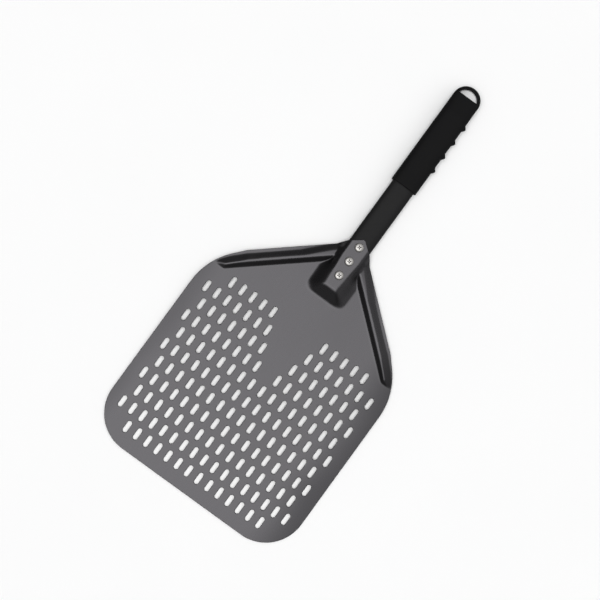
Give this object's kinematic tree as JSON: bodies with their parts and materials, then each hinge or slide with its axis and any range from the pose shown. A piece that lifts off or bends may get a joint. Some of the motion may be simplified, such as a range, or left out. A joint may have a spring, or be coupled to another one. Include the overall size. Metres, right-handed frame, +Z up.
{
  "type": "pizza peel",
  "caption": "Short pizza peel: perforated stamped sheet blade with pressed shoulder ribs, flat-oval tube handle held by screws, moulded grip with a hanging hole.",
  "frame": {"origin": "centre of the bounding box in x and y, at the underside of the grip", "axes": "+Y from the blade's tip to the end of the handle, +Z up out of the blade's upper side, +X to the right when the handle points away"},
  "size_m": [0.276, 0.5914, 0.0184],
  "materials": {
    "anodised_sheet": "dark grey hard-anodised satin",
    "coated_tube": "black powder coat",
    "plug_plastic": "moulded black nylon",
    "bright_steel": "bright nickel plated",
    "grip_plastic": "fine matt moulded texture"
  },
  "bodies": {
    "root": {"blade": "anodised_sheet", "handle_tube": "coated_tube", "tube_plug": "plug_plastic", "screw_front": "bright_steel", "screw_middle": "bright_steel", "screw_rear": "bright_steel", "barrel_nut_front": "bright_steel", "barrel_nut_middle": "bright_steel", "barrel_nut_rear": "bright_steel", "grip": "grip_plastic"}
  },
  "joints": []
}
